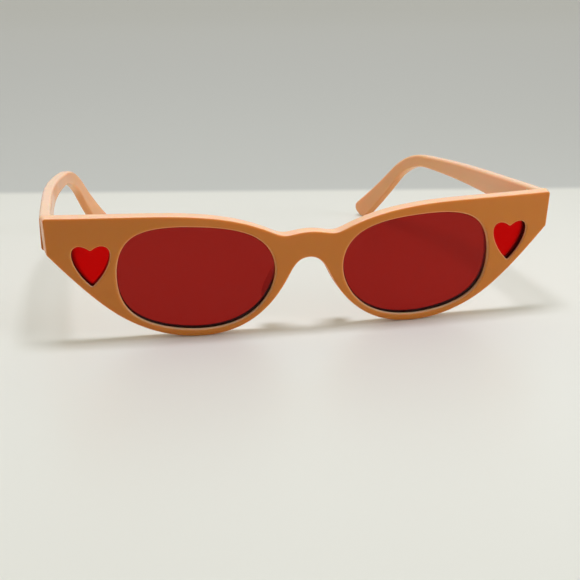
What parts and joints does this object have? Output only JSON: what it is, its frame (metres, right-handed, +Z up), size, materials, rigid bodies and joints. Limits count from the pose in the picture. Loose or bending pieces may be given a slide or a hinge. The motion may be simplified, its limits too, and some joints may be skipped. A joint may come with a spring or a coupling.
{
  "type": "sunglasses",
  "caption": "Plastic sunglasses with an upswept front, rounded tinted lenses, heart-shaped windows in the end pieces and folding temples.",
  "frame": {"origin": "on the ground under the middle of the object's box, standing on its rims and temple tips", "axes": "+X across to the right as seen from the front, +Y from the front back along the temples, +Z up"},
  "size_m": [0.1522, 0.1424, 0.0379],
  "materials": {
    "frame_plastic": "polished tan plastic",
    "pad_plastic": "polished tan plastic",
    "lens_tint": "polished, dark red tint, see-through",
    "heart_tint": "polished, bright red, see-through",
    "core_metal": "bright drawn wire",
    "hinge_metal": "polished gold tone",
    "screw_metal": "polished"
  },
  "bodies": {
    "front": {"frame_front": "frame_plastic", "lens_left": "lens_tint", "lens_right": "lens_tint", "heart_window_left": "heart_tint", "heart_window_right": "heart_tint", "nose_pad_left": "pad_plastic", "nose_pad_right": "pad_plastic", "front_hinge_left": "hinge_metal", "front_hinge_right": "hinge_metal", "hinge_screw_left": "screw_metal", "hinge_screw_right": "screw_metal"},
    "left_temple": {"temple_left": "frame_plastic", "core_wire_left": "core_metal", "temple_hinge_left": "hinge_metal"},
    "right_temple": {"temple_right": "frame_plastic", "core_wire_right": "core_metal", "temple_hinge_right": "hinge_metal"}
  },
  "joints": [
    {"name": "left_fold", "type": "hinge", "parent": "front", "child": "left_temple", "pos_m": [-0.07125, -0.06227, 0.03296], "axis": [0, 0.0806, -0.9967], "range_deg": [0, 84]},
    {"name": "right_fold", "type": "hinge", "parent": "front", "child": "right_temple", "pos_m": [0.07125, -0.06227, 0.03296], "axis": [0, -0.0806, 0.9967], "range_deg": [0, 79]}
  ]
}
